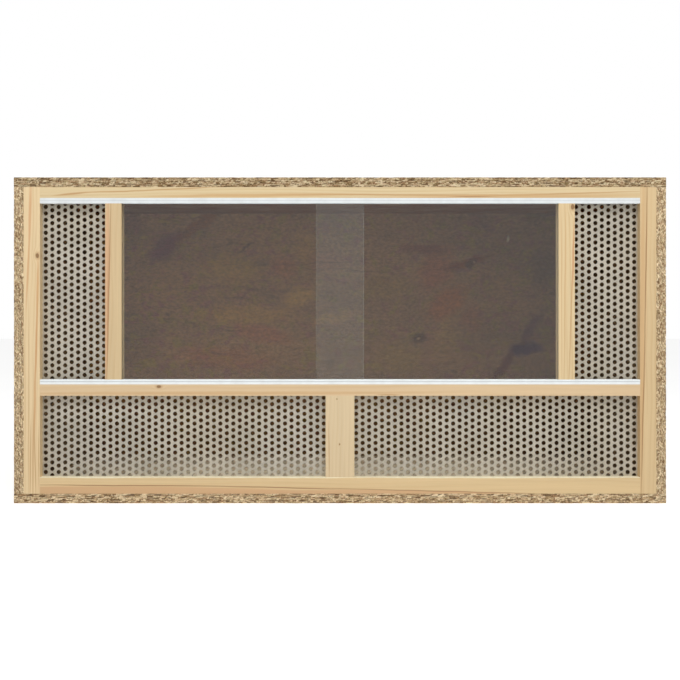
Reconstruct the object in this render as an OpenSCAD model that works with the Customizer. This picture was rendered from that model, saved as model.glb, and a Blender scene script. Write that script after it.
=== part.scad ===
// Reptile terrarium: an OSB cabinet with a pine front frame, perforated metal
// vents and two glass panes that slide in double-channel runners.
//
// X runs to the right, Y from the front to the back and Z up. The origin is the
// centre of the base, on the surface that the cabinet stands on. Millimetres.
//
// The sheets, rebates and laps come from two rectangles, lower_sheet and
// upper_sheet. Every frame strip is cut by the same seats that hold the sheets.

/* [Cabinet] */
// Overall width, over the ends of the top and bottom boards
cabinet_w = 1200; // [1000:10:1500]
// Overall depth, from the front edges to the outside of the back panel
cabinet_d = 600; // [450:10:800]
// Overall height, from the underside to the top
cabinet_h = 600; // [540:10:800]
// Thickness of the top, bottom and side boards
board_t = 18; // [16:1:22]
// Thickness of the back panel
back_t = 9; // [8:1:15]

/* [Front frame] */
// Face width of the outer posts and of the two posts beside the doorway
post_w = 30; // [26:1:40]
// Depth of the rails and posts, front to back
strip_d = 30; // [26:1:40]
// Face height of the top rail and the middle rail
rail_h = 20; // [18:1:30]
// Face height of the bottom rail
bottom_rail_h = 30; // [26:1:45]
// Face width of the post in the middle of the lower vent
centre_post_w = 53; // [44:1:70]
// Clear height of the lower vent
lower_vent_h = 150; // [110:1:170]
// Clear width of each upper vent
upper_vent_w = 120; // [90:1:180]

/* [Vent sheets] */
// Thickness of the perforated sheet
sheet_t = 1.5; // [1:0.1:2]
// How far the sheets lie behind the front face
sheet_setback = 20; // [18:0.5:22]
// How far a sheet laps the posts and the bottom rail
post_lap = 15; // [12:0.5:18]
// How far a sheet laps the middle rail and the top rail
rail_lap = 7; // [6:0.5:9]
// Play round the edges of a sheet in its rebate
sheet_play = 0.5; // [0.2:0.1:0.8]
// Diameter of the holes
hole_d = 7.5; // [5:0.1:8]
// Spacing of the holes, up each column and from column to column
hole_pitch = 12; // [11:0.1:14]
// Height of the first staggered row above the bottom rail
pattern_rise = 1.2; // [0:0.1:4]
// Least metal between a hole and the edge of its sheet
hole_edge = 1; // [0.5:0.1:2]

/* [Glass and runners] */
// Thickness of the glass
glass_t = 4; // [3:0.5:5]
// Width by which the closed panes overlap
pane_overlap = 88; // [40:1:160]
// Play between a closed pane and the post that stops it
pane_stop_gap = 0.3; // [0.1:0.1:1]
// Play on each face of the glass in its channel
channel_play = 0.4; // [0.2:0.1:0.6]
// Outer walls of a runner
runner_wall = 1.6; // [1.2:0.1:2]
// Wall between the two channels
runner_web = 2; // [1.4:0.1:2.6]
// Skin over and under the hollow base of the lower runner
runner_skin = 1.2; // [0.8:0.1:1.4]
// Thickness of the upper runner above its channels
runner_roof = 1.2; // [1:0.1:1.6]
// Face height of a runner
runner_h = 10; // [10:0.5:12]
// Depth of the channels in the lower runner
bottom_channel = 5; // [3:0.1:5.4]
// How far the glass reaches up into the upper runner
top_grip = 3.5; // [2.5:0.1:3.9]
// Bevel on the mouth of a channel
lip_bevel = 0.4; // [0.2:0.1:0.5]
// Bevel on the upright edges of the glass
glass_bevel = 0.5; // [0.2:0.1:1]
// Play under a pane
pane_play = 0.2; // [0.1:0.1:0.3]

/* [Screws and dowels] */
// Shank diameter of the countersunk screws
screw_d = 4; // [3.5:0.1:4.5]
// Head diameter of the countersunk screws
screw_head_d = 8; // [7:0.1:9]
// Height of a countersunk head
screw_head_h = 2.5; // [2:0.1:3.5]
// How far a countersunk head lies below the surface
screw_sink = 0.5; // [0.2:0.1:1]
// Length of the screws into the ends of the side boards
board_screw = 50; // [40:1:60]
// Length of the screws into the rails
rail_screw = 34; // [28:1:35]
// Length of the screws through the side boards into the outer posts
post_screw = 40; // [30:1:42]
// Length of the screws in the back panel
back_screw = 35; // [25:1:40]
// Shank diameter of the pan head screws in the vent sheets
sheet_screw_d = 3; // [2.5:0.1:3.2]
// Head diameter of the pan head screws
pan_head_d = 5.6; // [5:0.1:5.8]
// Height of a pan head
pan_head_h = 2; // [1.5:0.1:2.5]
// Length of the pan head screws, under the head
sheet_screw = 12; // [8:1:14]
// Diameter of the dowels in the rails and the centre post
dowel_d = 8; // [6:1:9]
// Length of those dowels
dowel_l = 40; // [30:1:44]
// How far those dowels go into the outer posts and the rails
dowel_in = 14; // [12:1:15]
// Diameter of the dowels behind the runners
neck_dowel_d = 6; // [5:0.5:7]
// Length of the dowels behind the runners
neck_dowel_l = 30; // [24:1:36]
// How far those dowels go into the rails
neck_dowel_in = 10; // [8:1:10]
// Radial play of a screw or dowel in its hole, and of a post on its runner
fit = 0.1; // [0.05:0.05:0.2]

/* [Hidden] */

$fn = 24;
cut = 1;                // how far a cutter runs out past the wood

// Planes from front to back
front = -cabinet_d / 2;
back = cabinet_d / 2;
back_panel_in = back - back_t;
strip_back = front + strip_d;
sheet_front = front + sheet_setback;
sheet_back = sheet_front + sheet_t;
channel_w = glass_t + 2 * channel_play;
runner_d = 2 * (runner_wall + channel_w) + runner_web;
runner_back = front + runner_d;

// Planes from the middle outwards
side_out = cabinet_w / 2;
side_in = side_out - board_t;
outer_post_in = side_in - post_w;
inner_post_out = outer_post_in - upper_vent_w;
inner_post_in = inner_post_out - post_w;

// Levels from the bottom up
bottom_rail_low = board_t;
bottom_rail_top = bottom_rail_low + bottom_rail_h;
middle_rail_low = bottom_rail_top + lower_vent_h;
middle_rail_top = middle_rail_low + rail_h;
doorway_low = middle_rail_top + runner_h;
top_rail_top = cabinet_h - board_t;
top_rail_low = top_rail_top - rail_h;
doorway_top = top_rail_low - runner_h;

// Each sheet with its laps, as [low x, low z, high x, high z]. The upper one is on the right.
lower_sheet = [
    -outer_post_in - post_lap, bottom_rail_top - post_lap,
    outer_post_in + post_lap, middle_rail_low + rail_lap
];
upper_sheet = [
    inner_post_out - post_lap, middle_rail_top - rail_lap,
    outer_post_in + post_lap, top_rail_low + rail_lap
];
// How far past the edge of an opening the centre of a hole may lie
hole_reach = rail_lap - sheet_play - hole_edge - hole_d / 2;
// From the edge of an opening to the middle of the plain border that the screws go through
border_mid = (hole_reach + hole_d / 2 + post_lap - sheet_play) / 2;

// Glass
doorway_w = 2 * inner_post_in;
pane_w = (doorway_w + pane_overlap) / 2 - pane_stop_gap;
pane_low = doorway_low - bottom_channel + pane_play;
pane_top = doorway_top + top_grip;
front_pane_y = front + runner_wall + channel_play;
rear_pane_y = front_pane_y + channel_w + runner_web;

// As many places as count, spread evenly from low to high
function spread(count, low, high) = [for (i = [0 : count - 1]) low + (high - low) * i / (count - 1)];

// Screws and dowels are [place, way, length]. The place is the middle of the head, or of
// the dowel's end, and the way is where the point goes.
function turn(way) =
    way == "down" ? [0, 0, 0] :
    way == "up" ? [180, 0, 0] :
    way == "left" ? [0, 90, 0] :
    way == "right" ? [0, -90, 0] :
    way == "forward" ? [-90, 0, 0] : [90, 0, 0];

joint_margin = 60;      // from a corner of the cabinet, or a post, to the nearest screw
sheet_margin = 15;      // from the end of an upright lap to the nearest pan head screw
strip_mid = front + strip_d / 2;
solid_mid = front + sheet_setback / 2;      // middle of the wood in front of a rebate
board_mid = side_in + board_t / 2;

side_joint_y = spread(3, front + joint_margin, back_panel_in - joint_margin);
rail_screw_x = spread(4, -inner_post_in + joint_margin, inner_post_in - joint_margin);
top_side_screws = [
    for (side = [-1, 1]) for (y = side_joint_y)
        [[side * board_mid, y, cabinet_h - screw_sink], "down", board_screw]
];
bottom_side_screws = [
    for (side = [-1, 1]) for (y = side_joint_y)
        [[side * board_mid, y, screw_sink], "up", board_screw]
];
top_rail_screws = [for (x = rail_screw_x) [[x, strip_mid, cabinet_h - screw_sink], "down", rail_screw]];
bottom_rail_screws = [for (x = rail_screw_x) [[x, strip_mid, screw_sink], "up", rail_screw]];

upper_quarter = (top_rail_low - middle_rail_top) / 4;
post_screw_z = [
    bottom_rail_top + lower_vent_h / 2,
    middle_rail_top + upper_quarter,
    top_rail_low - upper_quarter
];
post_screws = [
    for (side = [-1, 1]) for (z = post_screw_z)
        [[side * (side_out - screw_sink), strip_mid, z], side > 0 ? "left" : "right", post_screw]
];

back_row_x = spread(6, -side_out + joint_margin, side_out - joint_margin);
back_side_z = spread(4, board_t / 2, cabinet_h - board_t / 2);
back_screws = concat(
    [for (x = back_row_x) for (z = [board_t / 2, cabinet_h - board_t / 2])
        [[x, back - screw_sink, z], "forward", back_screw]],
    [for (side = [-1, 1]) for (z = [back_side_z[1], back_side_z[2]])
        [[side * board_mid, back - screw_sink, z], "forward", back_screw]]
);

// The first hole of the even columns is half a pitch above that of the odd ones
pattern_z = bottom_rail_top + pattern_rise;
function column_x(k) = (k + 0.5) * hole_pitch;
function column_z(k) = pattern_z + (k % 2 == 0 ? hole_pitch / 2 : 0);
// The height nearest below z at which the metal between two columns is widest
function web_z(z) = pattern_z + (floor((z - pattern_z) * 2 / hole_pitch) - 0.5) * hole_pitch / 2;

centre_screw_z = [web_z(bottom_rail_top + 2 * sheet_margin), web_z(middle_rail_low - sheet_margin)];
bottom_lap_x = spread(4, -outer_post_in + joint_margin, outer_post_in - joint_margin);
lower_lap_z = spread(2, bottom_rail_top + sheet_margin, middle_rail_low - sheet_margin);
upper_lap_z = spread(3, doorway_low + sheet_margin / 2, doorway_top - sheet_margin / 2);
lower_sheet_screws = concat(
    [for (z = centre_screw_z) [[0, sheet_back, z], "forward", sheet_screw]],
    [for (x = bottom_lap_x) [[x, sheet_back, bottom_rail_top - border_mid], "forward", sheet_screw]],
    [for (side = [-1, 1]) for (z = lower_lap_z)
        [[side * (outer_post_in + border_mid), sheet_back, z], "forward", sheet_screw]]
);
upper_sheet_screws = [
    for (x = [inner_post_out - border_mid, outer_post_in + border_mid]) for (z = upper_lap_z)
        [[x, sheet_back, z], "forward", sheet_screw]
];

rail_mid_z = [
    (bottom_rail_low + bottom_rail_top) / 2,
    (middle_rail_low + middle_rail_top) / 2,
    (top_rail_low + top_rail_top) / 2
];
rail_dowels = [
    for (side = [-1, 1]) for (z = rail_mid_z)
        [[side * (outer_post_in + dowel_in), solid_mid, z], side > 0 ? "left" : "right", dowel_l]
];
centre_dowels = concat(
    [for (x = [-centre_post_w / 4, centre_post_w / 4])
        [[x, solid_mid, bottom_rail_top - dowel_in], "up", dowel_l]],
    [for (x = [-centre_post_w / 4, centre_post_w / 4])
        [[x, solid_mid, middle_rail_low + dowel_in], "down", dowel_l]]
);
// Behind a runner, in the part of the post that the sheet's rebate leaves whole
neck_x = (inner_post_in + inner_post_out - post_lap) / 2;
neck_y = (runner_back + strip_back) / 2;
neck_dowels = concat(
    [for (side = [-1, 1]) [[side * neck_x, neck_y, middle_rail_top - neck_dowel_in], "up", neck_dowel_l]],
    [for (side = [-1, 1]) [[side * neck_x, neck_y, top_rail_low + neck_dowel_in], "down", neck_dowel_l]]
);

// A box between two corners
module block(low, high) translate(low) cube(high - low);

// Each copy of a shape drawn with its head up and its point down, at every fixing in the list
module at_each(fixings) {
    for (f = fixings)
        translate(f[0]) rotate(turn(f[1])) {
            $length = f[2];
            children();
        }
}

module countersunk_screw() rotate_extrude() polygon([
    [0, 0],
    [screw_head_d / 2, 0],
    [screw_d / 2, -screw_head_h],
    [screw_d / 2, screw_d - $length],
    [0, -$length]
]);

module countersunk_bore() rotate_extrude() polygon([
    [0, cut + screw_sink],
    [screw_head_d / 2 + fit, cut + screw_sink],
    [screw_head_d / 2 + fit, 0],
    [screw_d / 2 + fit, -screw_head_h],
    [screw_d / 2 + fit, -$length - fit],
    [0, -$length - fit]
]);

module pan_head_screw() rotate_extrude() polygon([
    [0, pan_head_h],
    [pan_head_d / 4, pan_head_h],
    [pan_head_d / 2, pan_head_h / 2],
    [pan_head_d / 2, 0],
    [sheet_screw_d / 2, 0],
    [sheet_screw_d / 2, sheet_screw_d - $length],
    [0, -$length]
]);

module pan_head_bore() translate([0, 0, -$length - fit])
    cylinder(h = $length + fit + cut, d = sheet_screw_d + 2 * fit);

module dowel(diameter) translate([0, 0, -$length]) cylinder(h = $length, d = diameter);

module dowel_bore(diameter) translate([0, 0, -$length - fit])
    cylinder(h = $length + 2 * fit, d = diameter + 2 * fit);

// The rebate that a sheet lies in, through to the back of the strips
module sheet_seat(sheet) block(
    [sheet[0], sheet_front, sheet[1]],
    [sheet[2], strip_back + cut, sheet[3]]
);

// A frame strip, cut by every sheet's rebate
module frame_strip(low, high) difference() {
    block(low, high);
    sheet_seat(lower_sheet);
    sheet_seat(upper_sheet);
    mirror([1, 0, 0]) sheet_seat(upper_sheet);
}

module bottom_board() color("burlywood") difference() {
    block([-side_out, front, 0], [side_out, back_panel_in, board_t]);
    at_each(concat(bottom_side_screws, bottom_rail_screws)) countersunk_bore();
    at_each(back_screws) countersunk_bore();
}

module top_board() color("burlywood") difference() {
    block([-side_out, front, top_rail_top], [side_out, back_panel_in, cabinet_h]);
    at_each(concat(top_side_screws, top_rail_screws)) countersunk_bore();
    at_each(back_screws) countersunk_bore();
}

// The right one. The left one is its mirror image.
module side_board() color("tan") difference() {
    block([side_in, front, board_t], [side_out, back_panel_in, top_rail_top]);
    at_each(concat(top_side_screws, bottom_side_screws, post_screws, back_screws)) countersunk_bore();
}

module back_panel() color("saddlebrown") difference() {
    block([-side_out, back_panel_in, 0], [side_out, back, cabinet_h]);
    at_each(back_screws) countersunk_bore();
}

module outer_post() color("wheat") difference() {
    frame_strip([outer_post_in, front, bottom_rail_low], [side_in, strip_back, top_rail_top]);
    at_each(post_screws) countersunk_bore();
    at_each(rail_dowels) dowel_bore(dowel_d);
    at_each(concat(lower_sheet_screws, upper_sheet_screws)) pan_head_bore();
}

// A rail between the outer posts
module rail(low, high) frame_strip([-outer_post_in, front, low], [outer_post_in, strip_back, high]);

module top_rail() color("wheat") difference() {
    rail(top_rail_low, top_rail_top);
    at_each(top_rail_screws) countersunk_bore();
    at_each(rail_dowels) dowel_bore(dowel_d);
    at_each(neck_dowels) dowel_bore(neck_dowel_d);
}

module middle_rail() color("wheat") difference() {
    rail(middle_rail_low, middle_rail_top);
    at_each(concat(rail_dowels, centre_dowels)) dowel_bore(dowel_d);
    at_each(neck_dowels) dowel_bore(neck_dowel_d);
}

module bottom_rail() color("wheat") difference() {
    rail(bottom_rail_low, bottom_rail_top);
    at_each(bottom_rail_screws) countersunk_bore();
    at_each(concat(rail_dowels, centre_dowels)) dowel_bore(dowel_d);
    at_each(lower_sheet_screws) pan_head_bore();
}

// As deep as the sheet's setback, so that one sheet runs on behind it
module centre_post() color("wheat") difference() {
    block([-centre_post_w / 2, front, bottom_rail_top], [centre_post_w / 2, sheet_front, middle_rail_low]);
    at_each(centre_dowels) dowel_bore(dowel_d);
    at_each(lower_sheet_screws) pan_head_bore();
}

// The right one. Its ends are notched over the runners, and its outer back edge is rebated.
module inner_post() color("wheat") difference() {
    frame_strip([inner_post_in, front, middle_rail_top], [inner_post_out, strip_back, top_rail_low]);
    for (level = [middle_rail_top, doorway_top])
        block(
            [inner_post_in - cut, front - cut, level - (level < doorway_top ? cut : 0)],
            [inner_post_out + cut, runner_back + fit, level + runner_h + (level < doorway_top ? 0 : cut)]
        );
    at_each(neck_dowels) dowel_bore(neck_dowel_d);
    at_each(upper_sheet_screws) pan_head_bore();
}

// The holes of the common pattern whose centres lie within the rectangle
module holes(low_x, low_z, high_x, high_z) {
    for (k = [ceil(low_x / hole_pitch - 0.5) : floor(high_x / hole_pitch - 0.5)])
        for (n = [ceil((low_z - column_z(k)) / hole_pitch) : floor((high_z - column_z(k)) / hole_pitch)])
            translate([column_x(k), column_z(k) + n * hole_pitch]) circle(d = hole_d);
}

// A sheet is drawn flat in bands of eight columns, which meet between two columns of holes.
// The opening is what shows between the laps.
module perforated_sheet(sheet, opening, screws) {
    band = 8 * hole_pitch;
    low = [opening[0] - hole_reach, opening[1] - hole_reach];
    high = [opening[2] + hole_reach, opening[3] + hole_reach];
    color("darkkhaki") translate([0, sheet_back, 0]) rotate([90, 0, 0]) linear_extrude(sheet_t)
        for (i = [floor(sheet[0] / band) : ceil(sheet[2] / band) - 1]) {
            low_x = max(i * band, sheet[0] + sheet_play);
            high_x = min((i + 1) * band, sheet[2] - sheet_play);
            if (high_x > low_x) difference() {
                translate([low_x, sheet[1] + sheet_play])
                    square([high_x - low_x, sheet[3] - sheet[1] - 2 * sheet_play]);
                holes(max(low_x, low[0]), low[1], min(high_x, high[0]), high[1]);
                for (s = screws) translate([s[0][0], s[0][2]]) circle(d = sheet_screw_d + 2 * fit);
            }
        }
}

module lower_vent_sheet() perforated_sheet(
    lower_sheet,
    [-outer_post_in, bottom_rail_top, outer_post_in, middle_rail_low],
    lower_sheet_screws
);

module upper_right_vent_sheet() perforated_sheet(
    upper_sheet,
    [inner_post_out, middle_rail_top, outer_post_in, top_rail_low],
    upper_sheet_screws
);

// The holes follow the common pattern, so this one isn't a mirror image
module upper_left_vent_sheet() perforated_sheet(
    [-upper_sheet[2], upper_sheet[1], -upper_sheet[0], upper_sheet[3]],
    [-outer_post_in, middle_rail_top, -inner_post_out, top_rail_low],
    [for (s = upper_sheet_screws) [[-s[0][0], s[0][1], s[0][2]], s[1], s[2]]]
);

// One channel, seen along the runner, with its mouth at the origin's height
module channel(depth) polygon([
    [0, -depth],
    [channel_w, -depth],
    [channel_w, -lip_bevel],
    [channel_w + lip_bevel, 0],
    [channel_w + lip_bevel, cut],
    [-lip_bevel, cut],
    [-lip_bevel, 0],
    [0, -lip_bevel]
]);

// The section of a runner that opens upwards. A shallow channel leaves a hollow base.
module runner_section(depth) difference() {
    square([runner_d, runner_h]);
    hollow_h = runner_h - depth - 2 * runner_skin;
    for (y = [runner_wall, runner_wall + channel_w + runner_web]) {
        translate([y, runner_h]) channel(depth);
        if (hollow_h > runner_skin) translate([y, runner_skin]) square([channel_w, hollow_h]);
    }
}

module runner(depth) color("white")
    translate([-outer_post_in, front, 0]) rotate([90, 0, 90])
        linear_extrude(2 * outer_post_in) runner_section(depth);

module bottom_glass_runner() translate([0, 0, middle_rail_top]) runner(bottom_channel);

module top_glass_runner() translate([0, 0, top_rail_low]) mirror([0, 0, 1]) runner(runner_h - runner_roof);

module glass_pane(low_x, low_y) color("lightblue", 0.4)
    translate([low_x, low_y, pane_low]) linear_extrude(pane_top - pane_low) polygon([
        [glass_bevel, 0],
        [pane_w - glass_bevel, 0],
        [pane_w, glass_bevel],
        [pane_w, glass_t - glass_bevel],
        [pane_w - glass_bevel, glass_t],
        [glass_bevel, glass_t],
        [0, glass_t - glass_bevel],
        [0, glass_bevel]
    ]);

module left_glass_pane() glass_pane(-inner_post_in + pane_stop_gap, rear_pane_y);

module right_glass_pane() glass_pane(inner_post_in - pane_stop_gap - pane_w, front_pane_y);

module top_board_screws() color("gold") at_each(concat(top_side_screws, top_rail_screws)) countersunk_screw();

module bottom_board_screws() color("gold")
    at_each(concat(bottom_side_screws, bottom_rail_screws)) countersunk_screw();

module side_board_screws() color("gold") at_each(post_screws) countersunk_screw();

module back_panel_screws() color("gold") at_each(back_screws) countersunk_screw();

module vent_sheet_screws() color("silver") {
    at_each(concat(lower_sheet_screws, upper_sheet_screws)) pan_head_screw();
    mirror([1, 0, 0]) at_each(upper_sheet_screws) pan_head_screw();
}

module frame_dowels() color("peru") {
    at_each(concat(rail_dowels, centre_dowels)) dowel(dowel_d);
    at_each(neck_dowels) dowel(neck_dowel_d);
}

bottom_board();
top_board();
mirror([1, 0, 0]) side_board();  // left_side_board
side_board();  // right_side_board
back_panel();
mirror([1, 0, 0]) outer_post();  // left_outer_post
outer_post();  // right_outer_post
top_rail();
middle_rail();
bottom_rail();
centre_post();
mirror([1, 0, 0]) inner_post();  // left_inner_post
inner_post();  // right_inner_post
lower_vent_sheet();
upper_left_vent_sheet();
upper_right_vent_sheet();
top_glass_runner();
bottom_glass_runner();
left_glass_pane();
right_glass_pane();
top_board_screws();
bottom_board_screws();
side_board_screws();
back_panel_screws();
vent_sheet_screws();
frame_dowels();
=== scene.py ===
import math

import bpy
import numpy as np
from bpy.props import FloatProperty, FloatVectorProperty, IntProperty, PointerProperty
from bpy.types import Operator, Panel, PropertyGroup
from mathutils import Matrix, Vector
from mathutils.geometry import delaunay_2d_cdt


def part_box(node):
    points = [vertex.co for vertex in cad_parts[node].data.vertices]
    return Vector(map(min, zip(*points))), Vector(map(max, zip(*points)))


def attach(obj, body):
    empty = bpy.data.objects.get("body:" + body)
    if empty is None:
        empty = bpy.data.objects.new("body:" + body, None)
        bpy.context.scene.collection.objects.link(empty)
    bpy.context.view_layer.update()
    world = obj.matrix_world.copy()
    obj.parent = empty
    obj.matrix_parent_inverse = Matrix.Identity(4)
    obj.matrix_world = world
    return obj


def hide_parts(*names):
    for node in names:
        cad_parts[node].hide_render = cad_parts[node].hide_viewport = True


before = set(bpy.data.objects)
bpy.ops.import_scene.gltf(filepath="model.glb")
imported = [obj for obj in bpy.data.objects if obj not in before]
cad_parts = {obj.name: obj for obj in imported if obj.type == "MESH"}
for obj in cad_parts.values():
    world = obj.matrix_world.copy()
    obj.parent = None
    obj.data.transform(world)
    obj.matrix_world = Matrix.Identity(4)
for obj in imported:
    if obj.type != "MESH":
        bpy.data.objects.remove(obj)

bl_info = {
    "name": "Board terrarium with a framed front",
    "version": (1, 0, 0),
    "blender": (4, 5, 0),
    "location": "3D View > Sidebar > Terrarium",
    "description": "Dresses the terrarium's frame: boards, strips, sheets, glass, screws and stage",
    "category": "Object",
}

SCREW_GROUPS = {
    # the finish of each group and the axis along which its screws lie
    "top_board_screws": ("yellow", 2),
    "bottom_board_screws": ("yellow", 2),
    "side_board_screws": ("yellow", 0),
    "back_panel_screws": ("yellow", 1),
    "vent_sheet_screws": ("bright", 1),
}


# ---------------------------------------------------------------- settings


def number(name, text, value, kind=FloatProperty, **more):
    """A setting that is a number, or a vector of numbers."""
    return kind(name=name, description=text, default=value, **more)


def length(name, text, value, **more):
    """A setting that is a length in metres."""
    return number(name, text, value, unit="LENGTH", subtype="DISTANCE", **more)


class BoardSettings(PropertyGroup):
    """Measures of the strand boards."""

    edge: length("Edge rounding", "How far the sawn edges of the back panel are worn round", 0.0006)
    step: length(
        "Edge detail", "Distance between two points along a sawn edge that shows", 0.0013, min=0.0008
    )
    depth: length("Gap depth", "How deep the gaps between strands reach into a sawn edge", 0.0011)
    strand_length: length("Strand length", "Usual length of one wood strand", 0.085)
    strand_width: length("Strand width", "Usual width of one wood strand", 0.017)
    strand_thickness: length(
        "Strand thickness", "Usual thickness of one wood strand in the pressed board", 0.0013
    )


class StripSettings(PropertyGroup):
    """Measures of the pine strips of the front frame."""

    edge: length("Edge rounding", "Radius of the broken edges of each strip", 0.0007)
    ring_spacing: length("Ring spacing", "Usual distance between two growth rings", 0.0032)


class SheetSettings(PropertyGroup):
    """Measures of the perforated vent sheets."""

    hole: length("Hole diameter", "Diameter of one punched hole", 0.0075)
    pitch: length("Pitch", "Distance between two columns, and between two holes in a column", 0.012)
    lowest: length("Lowest hole", "Height of the lowest hole centre in the odd columns", 0.0492)
    roll: length("Rolled edge", "Radius that the punch leaves on the front edge of each hole", 0.00035)
    sides: number(
        "Points round a hole", "Number of points round one hole", 18, IntProperty, min=12, max=32
    )


class GlassSettings(PropertyGroup):
    """Measures of the glass panes and their runners."""

    edge: length("Ground edge", "Width of the ground arris on the panes", 0.0005)
    runner_edge: length("Runner rounding", "Radius of the edges of the white runners", 0.0003)


class StageSettings(PropertyGroup):
    """The studio round the terrarium."""

    camera: number(
        "Camera",
        "Where the camera stands",
        (0.0, -2.52, 0.350),
        FloatVectorProperty,
        unit="LENGTH",
        subtype="XYZ",
    )
    field: length("Width in view", "Width that fills the picture in the plane of the front", 1.2508)
    world: number("Room light", "Brightness of the even light from all round", 0.36)
    mirror: number("Mirrored room", "Brightness of the room in mirror images and through glass", 0.53)
    key: number("Key light", "Power of the soft light in front and above, in watts", 55.0)
    fill: number("Fill light", "Power of the low soft light in front, in watts", 16.0)


# ---------------------------------------------------------------- nodes


def rgb(*screen):
    """A screen colour from 0 to 255 as the linear colour that a shader takes."""
    part = [v / 255.0 for v in screen]
    return (*(v / 12.92 if v <= 0.04045 else ((v + 0.055) / 1.055) ** 2.4 for v in part), 1.0)


class Paint:
    """Short ways to add nodes to one tree. A value is a number, a colour or a socket."""

    def __init__(self, tree):
        self.tree = tree
        tree.nodes.clear()

    def put(self, socket, value):
        """Links value to the socket if it is an output, or else makes it the socket's own value."""
        if isinstance(value, bpy.types.NodeSocket):
            self.tree.links.new(value, socket)
        else:
            socket.default_value = value

    def node(self, kind, inputs, **settings):
        """One node of that kind, with its inputs by name or number and its settings."""
        made = self.tree.nodes.new("ShaderNode" + kind)
        for name, value in settings.items():
            setattr(made, name, value)
        for name, value in inputs.items():
            self.put(made.inputs[name], value)
        return made

    def first(self, kind, inputs, **settings):
        """The first output of such a node."""
        return self.node(kind, inputs, **settings).outputs[0]

    def calc(self, operation, *values):
        """One step of arithmetic."""
        return self.first("Math", dict(enumerate(values)), operation=operation)

    def times(self, *values):
        """The first value times the second, plus the third if there is one."""
        return self.calc("MULTIPLY_ADD" if values[2:] else "MULTIPLY", *values)

    def off(self, value, middle):
        """How far value lies from middle, either way."""
        return self.calc("ABSOLUTE", self.calc("SUBTRACT", value, middle))

    def span(self, *values, kind="LINEAR"):
        """value from low to high becomes to_low to to_high, or else 0 to 1, and stays within them."""
        return self.first("MapRange", dict(enumerate(values)), interpolation_type=kind)

    def ease(self, *values):
        """The same with soft ends."""
        return self.span(*values, kind="SMOOTHSTEP")

    def between(self, factor, first, second):
        """A mix of two numbers."""
        return self.first("Mix", {0: factor, 2: first, 3: second})

    def mix(self, factor, first, second, blend="MIX"):
        """A mix of two colours, each a socket or a screen colour."""
        first, second = (rgb(*part) if isinstance(part, tuple) else part for part in (first, second))
        inputs = {0: factor, 6: first, 7: second}
        return self.node("Mix", inputs, data_type="RGBA", blend_type=blend).outputs[2]

    def stain(self, colour, mask, strength, tint):
        """colour with tint over it where the mask is, at that strength."""
        return self.mix(self.times(mask, strength), colour, tint)

    def shade(self, colour, grey):
        """colour times a grey."""
        return self.mix(1.0, colour, self.first("CombineColor", {0: grey, 1: grey, 2: grey}), "MULTIPLY")

    def ramp(self, factor, *stops):
        """A colour ramp through (position, red, green, blue) stops."""
        made = self.node("ValToRGB", {"Fac": factor})
        parts = made.color_ramp.elements
        while len(parts) < len(stops):
            parts.new(0.5)
        for part, (position, *colour) in zip(parts, stops):
            part.position, part.color = position, rgb(*colour)
        return made.outputs["Color"]

    def place(self, vector, scale=(1, 1, 1), at=(0, 0, 0), turn=(0, 0, 0)):
        """vector scaled, turned and then moved."""
        return self.first("Mapping", {0: vector, "Location": at, "Rotation": turn, "Scale": scale})

    def noise(self, vector, scale, detail=3.0, rough=0.55, **placed):
        """Soft noise from 0 to 1. A scale of three numbers stretches it."""
        if isinstance(scale, tuple):
            vector, scale = self.place(vector, scale, **placed), 1.0
        inputs = {"Vector": vector, "Scale": scale, "Detail": detail, "Roughness": rough}
        return self.first("TexNoise", inputs)

    def shift(self, vector, amount, *noise, **placed):
        """vector pushed about by such noise in each of its parts, at most half of amount each way."""
        by = self.noise(vector, *noise, **placed).node.outputs["Color"]
        centred = self.first("VectorMath", {0: by, 1: (0.5, 0.5, 0.5)}, operation="SUBTRACT")
        scaled = self.first("VectorMath", {0: centred, 1: amount}, operation="MULTIPLY")
        return self.first("VectorMath", {0: vector, 1: scaled}, operation="ADD")

    def parts(self, vector):
        """The three parts of a vector."""
        return self.node("SeparateXYZ", {0: vector}).outputs

    def turned_axes(self, vector, order):
        """The vector's parts in another order, such as ZYX, so that the first runs along the wood."""
        parts = self.parts(vector)
        return self.first("CombineXYZ", {n: parts["XYZ".index(axis)] for n, axis in enumerate(order)})

    def patch(self, vector, at, long, short, turn=0.0, soft=0.6):
        """A mask that is 1 in the middle of an ellipse about the place at and fades to 0 past its rim.

        The vector is moved to the centre, turned back by turn and divided by the two half
        lengths. Its length is then 1 on the rim.
        """
        return self.ease(self.reach(vector, at, long, short, turn), 1.0 + soft, max(1.0 - soft, 0.0))

    def reach(self, vector, at, long, short, turn=0.0):
        """How far out of the centre of such an ellipse the vector lies, with 1 on the rim."""
        inputs = {0: vector, "Location": (at[0], 0, at[1]), "Scale": (long, THROUGH, short)}
        inputs["Rotation"] = (0, turn, 0)
        moved = self.first("Mapping", inputs, vector_type="TEXTURE")
        return self.node("VectorMath", {0: moved}, operation="LENGTH").outputs["Value"]

    def stroke(self, vector, start, end, half, soft=0.6):
        """A mask like patch for a long thin ellipse from start to end."""
        middle = (start[0] + end[0]) / 2, (start[1] + end[1]) / 2
        turn = -math.atan2(end[1] - start[1], end[0] - start[0])
        return self.patch(vector, middle, math.dist(start, end) / 2 + half, half, turn, soft)

    def by_ray(self, lit, mirrored, seen):
        """One of three shaders: for light, for mirror images and views through glass, for the eye."""
        path = self.node("LightPath", {}).outputs
        gloss = self.calc("MAXIMUM", path["Is Glossy Ray"], path["Is Transmission Ray"])
        other = self.first("MixShader", {0: gloss, 1: lit, 2: mirrored})
        return self.first("MixShader", {0: path["Is Camera Ray"], 1: other, 2: seen})


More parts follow.
